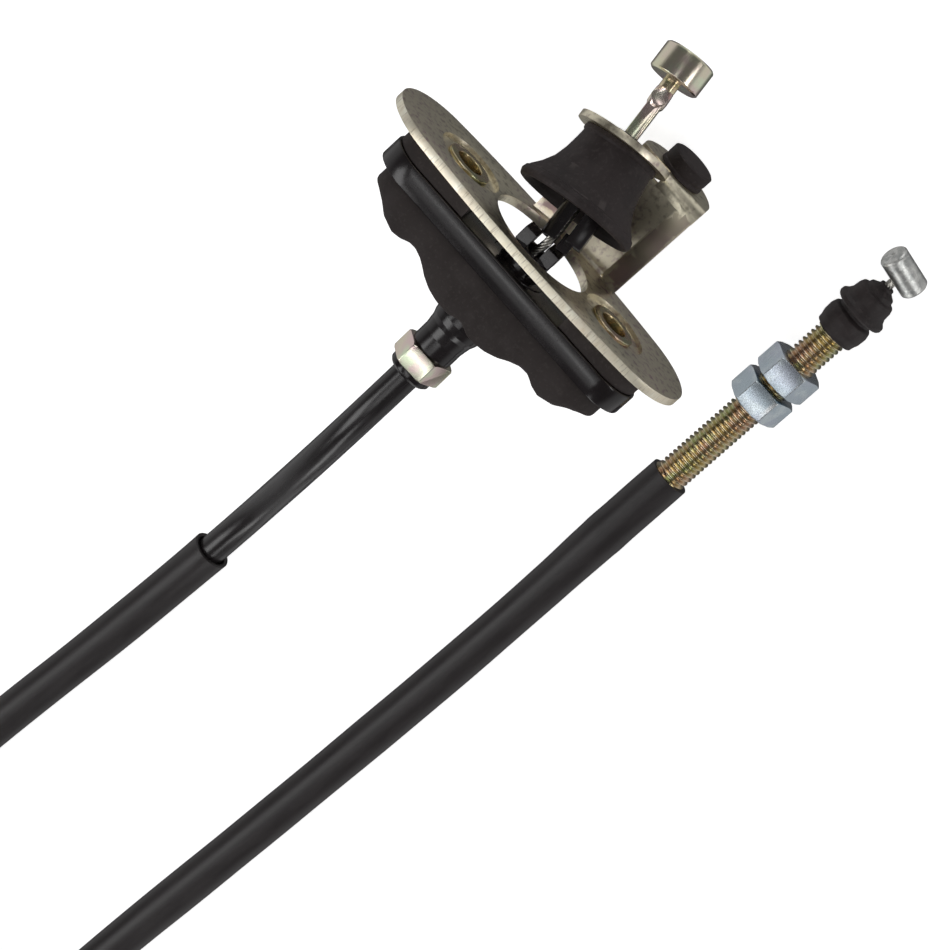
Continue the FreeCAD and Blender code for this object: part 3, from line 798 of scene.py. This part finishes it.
def ropeTree(material):
    strandSides, coreSides = 10, 12
    tree, start, end = startTree("layRopeStrands", [
        ("Rope Radius", "NodeSocketFloat", 0.001), ("Strands", "NodeSocketInt", 7),
        ("Lay Length", "NodeSocketFloat", 0.01), ("Core Share", "NodeSocketFloat", 0.5)])
    n, link = tree.nodes, tree.links.new
    toCurve = n.new("GeometryNodeMeshToCurve")
    link(start.outputs["Geometry"], toCurve.inputs["Mesh"])
    duplicate = n.new("GeometryNodeDuplicateElements")
    duplicate.domain = "SPLINE"
    link(toCurve.outputs["Curve"], duplicate.inputs["Geometry"])
    link(start.outputs["Strands"], duplicate.inputs["Amount"])
    share = mathIn(tree, "DIVIDE", duplicate.outputs["Duplicate Index"], start.outputs["Strands"])
    run = n.new("GeometryNodeSplineParameter").outputs["Length"]
    laid = mathIn(tree, "DIVIDE", run, start.outputs["Lay Length"])
    turn = mathIn(tree, "MULTIPLY", mathIn(tree, "ADD", share, laid), 2 * math.pi)
    # the strands touch each other, which gives their radius
    half = mathIn(tree, "SINE", mathIn(tree, "DIVIDE", math.pi, start.outputs["Strands"]))
    scaledRadius = mathIn(tree, "MULTIPLY", start.outputs["Rope Radius"], half)
    strand = mathIn(tree, "DIVIDE", scaledRadius, mathIn(tree, "ADD", 1.0, half))
    ringRadius = mathIn(tree, "SUBTRACT", start.outputs["Rope Radius"], strand)
    normal = n.new("GeometryNodeInputNormal").outputs["Normal"]
    tangent = n.new("GeometryNodeInputTangent").outputs["Tangent"]
    crossed = n.new("ShaderNodeVectorMath")
    crossed.operation = "CROSS_PRODUCT"
    link(tangent, crossed.inputs[0])
    link(normal, crossed.inputs[1])
    offsets = []
    for direction, operation in ((normal, "COSINE"), (crossed.outputs[0], "SINE")):
        scaled = n.new("ShaderNodeVectorMath")
        scaled.operation = "SCALE"
        link(direction, scaled.inputs[0])
        link(mathIn(tree, "MULTIPLY", mathIn(tree, operation, turn), ringRadius), scaled.inputs["Scale"])
        offsets.append(scaled.outputs[0])
    total = n.new("ShaderNodeVectorMath")
    link(offsets[0], total.inputs[0])
    link(offsets[1], total.inputs[1])
    shifted = n.new("GeometryNodeSetPosition")
    link(duplicate.outputs["Geometry"], shifted.inputs["Geometry"])
    link(total.outputs[0], shifted.inputs["Offset"])
    bodies = []
    coreRadius = mathIn(tree, "MULTIPLY", start.outputs["Rope Radius"], start.outputs["Core Share"])
    for line, radius, sides in ((shifted.outputs["Geometry"], strand, strandSides),
                                (toCurve.outputs["Curve"], coreRadius, coreSides)):
        profile = n.new("GeometryNodeCurvePrimitiveCircle")
        profile.inputs["Resolution"].default_value = sides
        link(radius, profile.inputs["Radius"])
        sweep = n.new("GeometryNodeCurveToMesh")
        sweep.inputs["Fill Caps"].default_value = True
        link(line, sweep.inputs["Curve"])
        link(profile.outputs["Curve"], sweep.inputs["Profile Curve"])
        bodies.append(sweep.outputs["Mesh"])
    endTree(tree, end, bodies, material)
    return tree


layRopeStrands = ropeTree(steelBright)


def applyTree(piece, tree, **values):
    modifier = piece.modifiers.new(tree.name, "NODES")
    modifier.node_group = tree
    inputs = [item for item in tree.interface.items_tree if item.item_type == "SOCKET" and item.in_out == "INPUT"]
    sockets = {item.name: item.identifier for item in inputs}
    for key, value in values.items():
        modifier[sockets[key]] = value
    bake(piece)
    smoothUnder(piece.data, 40)


def makeRope(name, points, body, node, lay):
    line = routeLine(name + "Line", points)
    even = [line[0]]
    for place in line[1:]:  # short steps, so that the strands curl smoothly
        steps = max(1, round((place - even[-1]).length / ropeSet["step"]))
        first = even[-1].copy()
        even += [first.lerp(place, n / steps) for n in range(1, steps + 1)]
    mesh = bpy.data.meshes.new(name)
    mesh.from_pydata(even, [(k, k + 1) for k in range(len(even) - 1)], [])
    piece = addObject(name, mesh)
    applyTree(piece, layRopeStrands, **{"Rope Radius": ropeSet["radius"] * 0.001, "Strands": ropeSet["strands"],
                                        "Lay Length": lay * 0.001, "Core Share": ropeSet["core"]})
    settle(piece, body, "steel_rope", node)


def onPull(along):  # a point on the pull rod's line
    return tuple(pullPlace @ Vector((0, 0, along * 0.001)) * 1000)


pedalRopeRoute = [(-14, 0, 0), (-3, 0, 0), onPull(-46.5), onPull(-36), onPull(-22.2)]
makeRope("pedalRopeStrands", pedalRopeRoute, "cable", "pedal_rope", ropeSet["lay"])
engineY, engineZ = adjusterPlace.translation.y * 1000, adjusterPlace.translation.z * 1000
nippleX = nipplePlace.translation.x * 1000
engineRopeRoute = [(x, engineY, engineZ) for x in (5, 20, 34, nippleX - 1.5)]
makeRope("engineRopeStrands", engineRopeRoute, "engine_core", "engine_rope", -ropeSet["lay"])
print("ropes laid")


# Firewall bracket and its nuts.


bracketSet = {"bevel": 0.22, "nutBevel": 0.25, "segments": 3, "rimX": (-2.05, 0.05), "rimSlope": 0.35,
              "flangeHalf": (44.0, 17.5), "rimFrom": 0.8}


def makeBracket():
    s = bracketSet
    piece = fromCad("stampedBracket", "firewall_bracket", stampedZinc, s["bevel"], s["segments"])
    piece.data.materials.append(shearedSteel)
    for face in piece.data.polygons:  # the sheared rim of the flange
        centre = face.center * 1000
        outward = Vector((centre.y / s["flangeHalf"][0], centre.z / s["flangeHalf"][1])).length
        inSheet = s["rimX"][0] < centre.x < s["rimX"][1]
        if inSheet and abs(face.normal.x) < s["rimSlope"] and outward > s["rimFrom"]:
            face.material_index = 1
    settle(piece, "cable", "zinc_plate", "firewall_bracket")
    nuts = fromCad("fixedNuts", "weld_nuts", goldZinc, s["nutBevel"], s["segments"])
    settle(nuts, "cable", "zinc_plate", "weld_nuts")
    print("bracket", len(piece.data.polygons))


makeBracket()


# Bump stop.


bumpSet = {"foot": [(5.7, 0, 0.2), (5.62, 0.8, 0.15), (5.4, 1.1, 0.2), (5.55, 1.7, 0.3)],  # up from the base
           "crown": [(5.55, -0.3, 0.15), (5.15, 0, 0.15)], "sides": 72}  # down from the top


def makeBumpStop():
    low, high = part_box("bump_stop")
    centre = (low + high) * 500
    base, top = low.x * 1000, high.x * 1000
    section = [(0, base)] + [(radius, base + rise, corner) for radius, rise, corner in bumpSet["foot"]]
    section += [(radius, top + rise, corner) for radius, rise, corner in bumpSet["crown"]] + [(0, top)]
    place = placeOn(mm(0, centre.y, centre.z), (1, 0, 0))
    settle(lathe("bumpStopPad", section, place, damperRubber, bumpSet["sides"]), "cable", "black_rubber", "bump_stop")


makeBumpStop()
print("bump stop made")


# Seal stack.

sealSet = {"padBack": -7.48, "padFront": -2.02, "carrierBack": -12.95, "recessFloor": -10.2, "halfLength": 37.3,
           "halfHeight": 8.6, "domeLength": 34.4, "domeHeight": 7.3, "boltY": 23.0, "boltHole": 4.6,
           "padHole": 6.43, "padOpening": 15.5, "carrierBore": 6.5, "carrierSeat": 7.25, "domeBore": 6.45}


def boltCutters(radius):
    low, high = -32.0, 4.0
    return [roundCutter(radius, placeOn(mm(0, side * sealSet["boltY"], 0), (1, 0, 0)), low, high) for side in (-1, 1)]


def makePad():
    s = sealSet
    rings = roundedRings(s["padBack"], s["padFront"], s["halfLength"] - 0.55, s["halfHeight"] - 0.45, 0.4)
    piece = stadiumStack("sealPadFoam", rings, sealRubber)
    opening = boxCutter(Matrix.Identity(4), (-9, -s["padOpening"], -20), (2, s["padOpening"], 20))
    cutAway(piece, [opening] + boltCutters(s["padHole"]))
    settle(piece, "cable", "black_rubber", "seal_pad")


def makeCarrier():
    s = sealSet
    back, length, height = s["carrierBack"], s["halfLength"], s["halfHeight"]
    front = roundedRings(s["padBack"] - 0.02, back, length, height, 0.45)
    rings = front[:len(front) // 2]  # the front rim, then the back rim, the lip and the recess
    for x, inset in ((back + 0.3, 0), (back + 0.1, 0.1), (back, 0.35), (back, 2.1), (back + 0.2, 2.4),
                     (s["recessFloor"], 2.45)):
        rings.append((x, length - inset, height - inset))
    piece = stadiumStack("sealCarrierRing", rings, glossNylon)
    cutAway(piece, boltCutters(s["boltHole"]) + [roundCutter(s["carrierBore"], fittingPlace, -20, 5),
                                                 roundCutter(s["carrierSeat"], fittingPlace, -10.5, 5)])
    settle(piece, "cable", "black_plastic", "seal_carrier")


domeSet = {"knots": [(0.0, -24.8), (6.0, -24.8), (9.0, -24.2), (11.8, -23.0), (13.9, -21.6), (16.4, -20.4),
                     (18.8, -20.3), (21.0, -21.4), (23.3, -22.0), (26.5, -21.4), (30.8, -19.0), (33.0, -17.8),
                     (34.5, -17.5)],  # (along the flange, height of the back)
           "easeOver": 1.4, "rimDepth": 4.0, "rimShare": 0.34, "rimPower": 2.6, "rows": 22}


def domeBack(y):  # how far the rubber reaches back at a distance along the flange
    knots = domeSet["knots"]
    y = abs(y)
    for (y0, x0), (y1, x1) in zip(knots, knots[1:]):
        if y <= y1:
            t = (y - y0) / (y1 - y0)
            if abs(x1 - x0) > domeSet["easeOver"]:
                return x0 + (x1 - x0) * t * t * (3 - 2 * t)
            return x0 + (x1 - x0) * t
    return knots[-1][1]


def makeDome():
    s = sealSet
    length, height, rimX = s["domeLength"], s["domeHeight"], s["carrierBack"] - domeSet["rimDepth"]
    bm = bmesh.new()
    outline = stadiumLoop(length, height, 16, 36)
    rows = []
    for x, inset in ((s["recessFloor"] - 0.1, 1.25), (s["carrierBack"] - 0.1, 1.25), (s["carrierBack"] - 0.2, 0.1),
                     (s["carrierBack"] - 0.5, 0.0), (rimX + 0.1, 0.0), (rimX - 0.35, 0.12)):
        rows.append([(x, y * (1 - inset / length), z * (1 - inset / height)) for y, z in outline])
    steps, rimShare = domeSet["rows"], domeSet["rimShare"]
    for n in range(steps):
        share = 1 - n / steps
        past = max(0.0, (share - (1 - rimShare)) / rimShare)
        rim = math.sqrt(max(0.0, 1 - past ** domeSet["rimPower"]))
        row = []
        for y, z in outline:
            x = rimX - 0.5 + (domeBack(y * share) - rimX + 0.5) * rim
            row.append((x, y * (share if n else 0.992), z * (share if n else 0.982)))
        rows.append(row)
    rings = [[bm.verts.new(mm(*p)) for p in row] for row in rows]
    size = len(outline)
    for first, second in zip(rings, rings[1:]):
        for k in range(size):
            bm.faces.new((first[k], second[k], second[(k + 1) % size], first[(k + 1) % size]))
    bm.faces.new(rings[0])
    bm.faces.new(rings[-1])
    piece = finishMesh("sealDome", bm, sealRubber, 50)
    cutAway(piece, boltCutters(s["boltHole"]) + [roundCutter(s["domeBore"], fittingPlace, -32, 5)])
    settle(piece, "cable", "black_rubber", "dome_seal")


fittingSection = [
    (3.5, -34.5), (5.2, -34.5, 0.4), (5.2, -30.6, 1.0), (5.6, -28.0, 0.8), (6.1, -26.7, 0.4), (6.38, -24.9, 0.6),
    (6.4, -9.9), (7.2, -9.9, 0.1), (7.2, -7.45, 0.2), (5.1, -7.45, 0.2), (5.1, -9.4), (3.5, -9.4)]


def makeEndFitting():
    neck = lathe("endFittingNeck", fittingSection, fittingPlace, glossNylon)
    settle(neck, "cable", "black_plastic", "end_fitting")


makePad()
makeCarrier()
makeDome()
makeEndFitting()
print("seal stack made")


# Castellated bush, its teeth instanced round the mouth.

castleSet = {"bore": 1.6, "outer": 5.0, "baseX": -9.4, "faceX": -2.4, "sides": 72, "jaws": 2, "jawRing": 3.35,
             "jaw": (3.3, 6.0, 3.6), "jawSink": 0.2, "teeth": 4, "toothRing": 4.85, "tooth": (1.7, 2.2, 2.4),
             "toothX": -5.8, "bevel": 0.18}


def crownTree(material):
    tree, start, end = startTree("crownOfTeeth", [
        ("Teeth", "NodeSocketInt", 6), ("Ring Radius", "NodeSocketFloat", 0.004),
        ("Tooth Size", "NodeSocketVector", (0.002, 0.002, 0.002)), ("Height", "NodeSocketFloat", 0.0)])
    n, link = tree.nodes, tree.links.new
    tooth = n.new("GeometryNodeMeshCube")
    link(start.outputs["Tooth Size"], tooth.inputs["Size"])
    index = n.new("GeometryNodeInputIndex").outputs["Index"]
    turn = mathIn(tree, "MULTIPLY", mathIn(tree, "DIVIDE", index, start.outputs["Teeth"]), 2 * math.pi)
    spot = n.new("ShaderNodeCombineXYZ")
    link(mathIn(tree, "MULTIPLY", mathIn(tree, "COSINE", turn), start.outputs["Ring Radius"]), spot.inputs["X"])
    link(mathIn(tree, "MULTIPLY", mathIn(tree, "SINE", turn), start.outputs["Ring Radius"]), spot.inputs["Y"])
    ring = n.new("GeometryNodePoints")
    link(start.outputs["Teeth"], ring.inputs["Count"])
    link(spot.outputs[0], ring.inputs["Position"])
    rotation = n.new("ShaderNodeCombineXYZ")
    link(turn, rotation.inputs["Z"])
    spots = n.new("GeometryNodeInstanceOnPoints")
    link(ring.outputs["Points"], spots.inputs["Points"])
    link(tooth.outputs["Mesh"], spots.inputs["Instance"])
    link(rotation.outputs[0], spots.inputs["Rotation"])
    raised = n.new("GeometryNodeTransform")
    lift = n.new("ShaderNodeCombineXYZ")
    link(start.outputs["Height"], lift.inputs["Z"])
    link(spots.outputs["Instances"], raised.inputs["Geometry"])
    link(lift.outputs[0], raised.inputs["Translation"])
    endTree(tree, end, (raised.outputs["Geometry"], start.outputs["Geometry"]), material)
    return tree


crownOfTeeth = crownTree(glossNylon)


def makeCastle():
    s = castleSet
    section = [(s["bore"], s["baseX"]), (s["outer"], s["baseX"]), (s["outer"], s["faceX"], 0.25),
               (3.0, s["faceX"], 0.5), (s["bore"], s["faceX"] - 1.6)]
    piece = lathe("castleBushCrown", section, Matrix.Identity(4), glossNylon, s["sides"])
    jawX = s["faceX"] + s["jaw"][2] / 2 - s["jawSink"]
    crowns = ((s["teeth"], s["toothRing"], s["tooth"], s["toothX"], 45),
              (s["jaws"], s["jawRing"], s["jaw"], jawX, 90))
    for count, ring, size, height, turn in crowns:
        applyTree(piece, crownOfTeeth, **{"Teeth": count, "Ring Radius": ring * 0.001,
                                          "Tooth Size": [v * 0.001 for v in size], "Height": height * 0.001})
        piece.data.transform(Matrix.Rotation(math.radians(turn), 4, "Z"))
    piece.data.transform(fittingPlace)
    softenEdges(piece, s["bevel"], 3, 50)
    settle(piece, "cable", "black_plastic", "castle_bush")


makeCastle()
print("bush made")


# Boot, clip and guide.

bootSection = [
    (1.2, -18.4), (4.3, -18.4, 0.5), (4.3, -19.5, 0.15), (3.9, -19.5), (3.9, -21.27), (9.2, -21.27, 0.25),
    (9.25, -22.4, 0.3), (8.85, -22.8, 0.3), (9.1, -25.0, 2.0), (9.55, -28.0, 3.0), (10.4, -31.0, 3.0),
    (11.9, -33.6, 2.0), (13.6, -35.7, 1.0), (13.75, -36.0, 0.1), (14.1, -36.15, 0.2), (14.5, -37.2, 0.5),
    (14.1, -38.4, 0.5), (13.0, -38.5, 0.4), (12.0, -37.4, 0.8), (10.4, -34.0, 2.0), (8.8, -31.0, 2.0),
    (7.9, -27.4, 0.4), (7.6, -27.0, 0.3), (1.2, -27.0)]
bootSet = {"sides": 128, "smoothAngle": 45, "rodWay": 2.15, "wayAlong": (-28.0, -17.0), "sag": 0.05, "sagFrom": 22,
           "sagOver": 10, "sagOutside": 7, "clipBevel": 0.18, "guideBevel": 0.15}


def makeBoot():
    s = bootSet

    def sagging(angle, across, along):  # the rubber isn't quite round
        if across <= s["sagOutside"]:
            return 0.0
        depth = max(0.0, min(1.0, (-along - s["sagFrom"]) / s["sagOver"]))
        return s["sag"] * math.sin(3 * angle + 0.7) * depth

    piece = lathe("bootBell", bootSection, pullPlace, damperRubber, s["sides"], s["smoothAngle"], sagging)
    way, (low, high) = s["rodWay"], s["wayAlong"]
    cutAway(piece, [boxCutter(pullPlace, (-way, -way, low), (way, way, high))])
    settle(piece, "cable", "black_rubber", "boot")
    clip = fromCad("bootClipBush", "boot_clip", glossNylon, s["clipBevel"], 2)
    settle(clip, "cable", "black_plastic", "boot_clip")
    guide = fromCad("ropeGuide", "guide_tube", glossNylon, s["guideBevel"], 2)
    settle(guide, "cable", "black_plastic", "guide_tube")


makeBoot()
print("boot made")


# Pull rod and barrel.


rodSet = {"bevel": 0.12, "neckSides": 48, "barrelSides": 128, "barrelSmooth": 25,
          "neck": [(0, -5.7), (1.97, -5.7), (1.97, -4.0, 0.3), (1.85, -3.4), (0, -3.4)],
          "barrel": [(0, -3.4), (5.6, -3.4, 0.15), (6.13, -3.0, 0.25), (6.15, 3.0, 0.25), (5.7, 3.4, 0.15),
                     (0.6, 3.4, 0.3), (0, 3.25)]}


def makePullRod():
    s = rodSet
    bar = fromCad("pullRodBar", "pull_rod", oliveZinc, s["bevel"], 2)
    settle(bar, "pedal_core", "olive_metal", "pull_rod")
    neck = lathe("rodNeckSwage", s["neck"], pullPlace, goldZinc, s["neckSides"])
    settle(neck, "pedal_core", "olive_metal", "rod_neck")
    barrel = lathe("barrelTurned", s["barrel"], pullPlace, oliveZinc, s["barrelSides"], s["barrelSmooth"])
    settle(barrel, "pedal_core", "olive_metal", "pedal_barrel")


makePullRod()
print("pull rod made")


# End nut and collar on the conduit.


collarSet = {"nutBevel": 0.2, "sides": 72,
             "section": [(3.5, -41.9), (4.7, -41.9, 0.3), (5.3, -41.3, 0.4), (5.3, -39.95, 0.15), (3.5, -39.95)]}


def makeConduitEnd():
    nut = fromCad("crimpNut", "end_nut", oliveZinc, collarSet["nutBevel"], 3)
    settle(nut, "cable", "olive_metal", "end_nut")
    collar = lathe("collarLip", collarSet["section"], fittingPlace, glossNylon, collarSet["sides"])
    settle(collar, "cable", "black_plastic", "conduit_collar")


makeConduitEnd()
print("conduit end made")


# Adjuster: thread, nuts, dust boot, nipple.

threadSet = {"from": -20.7, "to": 32.0, "pitch": 1.25, "outer": 3.9, "root": 3.17, "sides": 48, "taper": 0.9,
             "smoothAngle": 28, "weld": 2e-6}  # weld in m
nutBevel = 0.16


def makeThread():
    s = threadSet
    root, outer, rootFillet, crestFillet = s["root"], s["outer"], s["root"] + 0.05, s["outer"] - 0.03
    outline = [(0.0, root), (0.06, root), (0.12, rootFillet), (0.42, crestFillet), (0.46, outer),
               (0.54, outer), (0.58, crestFillet), (0.88, rootFillet), (0.94, root)]  # (share of the pitch, radius)
    turns = int((s["to"] - s["from"]) / s["pitch"]) + 3
    bm = bmesh.new()
    rows = []
    for turn in range(turns):
        for share, radius in outline:
            row = []
            for k in range(s["sides"] + 1):
                x = s["from"] + s["pitch"] * (turn - 1.5 + share + k / s["sides"])
                r = radius
                if x <= s["from"] or x >= s["to"]:
                    x = min(max(x, s["from"]), s["to"])
                    r = s["root"]
                r = min(r, s["root"] + (s["to"] - x) * s["taper"])
                angle = 2 * math.pi * k / s["sides"]
                row.append(bm.verts.new(adjusterPlace @ mm(r * math.cos(angle), r * math.sin(angle), x)))
            rows.append(row)
    for first, second in zip(rows, rows[1:]):
        for k in range(s["sides"]):
            bm.faces.new((first[k], first[k + 1], second[k + 1], second[k]))
    piece = finishMesh("adjusterThread", bm, goldZinc, s["smoothAngle"], s["weld"])
    settle(piece, "cable", "olive_metal", "adjuster_screw")


def makeNuts():
    for name, node in (("lockNutHex", "lock_nut"), ("adjustingNutHex", "adjusting_nut")):
        settle(fromCad(name, node, blueZinc, nutBevel, 3), node, "blue_zinc", node)


dustSection = [
    (3.95, 28.4), (4.95, 28.4, 0.25), (5.05, 29.3, 0.3), (5.45, 30.6, 0.8), (5.55, 32.6, 0.9), (5.2, 33.9, 0.7),
    (4.4, 34.6, 0.4), (4.35, 35.5, 0.2), (6.0, 35.65, 0.15), (6.3, 36.1, 0.2), (6.25, 36.9, 0.3), (5.5, 37.6, 0.5),
    (5.0, 38.6, 0.6), (4.85, 40.3, 0.7), (4.5, 41.3, 0.3), (3.6, 41.6, 0.15), (3.3, 42.6, 0.3), (2.6, 43.0, 0.3),
    (1.85, 43.5, 0.2), (1.75, 44.2, 0.2), (1.15, 44.2), (1.15, 32.6), (3.95, 32.6)]
nippleSection = [(0, -5), (2.85, -5, 0.2), (3.22, -4.6, 0.4), (3.25, 4.6, 0.4), (2.85, 5.0, 0.2), (0.75, 5.0, 0.2),
                 (0.35, 4.75, 0.2), (0, 4.7)]
turnedSet = {"sides": 96, "bootSmooth": 45, "nippleSmooth": 30}


def makeDustBoot():
    s = turnedSet
    piece = lathe("dustBootMoulded", dustSection, adjusterPlace, dustRubber, s["sides"], s["bootSmooth"])
    settle(piece, "cable", "black_rubber", "dust_boot")


def makeNipple():
    s = turnedSet
    piece = lathe("nippleCast", nippleSection, nipplePlace, castZinc, s["sides"], s["nippleSmooth"])
    settle(piece, "engine_core", "cast_zinc", "engine_nipple")


makeThread()
makeNuts()
makeDustBoot()
makeNipple()
print("adjuster made")


# Finishes for the CAD pieces that stay.

for nodeName, material in (("conduit_stub_pedal", conduitSheath), ("liner_pedal", glossNylon),
                           ("adjuster_ferrule", goldZinc), ("conduit_stub_engine", conduitSheath),
                           ("liner_engine", glossNylon)):
    data = frame["nodes"][nodeName].data
    data.materials.clear()
    data.materials.append(material)

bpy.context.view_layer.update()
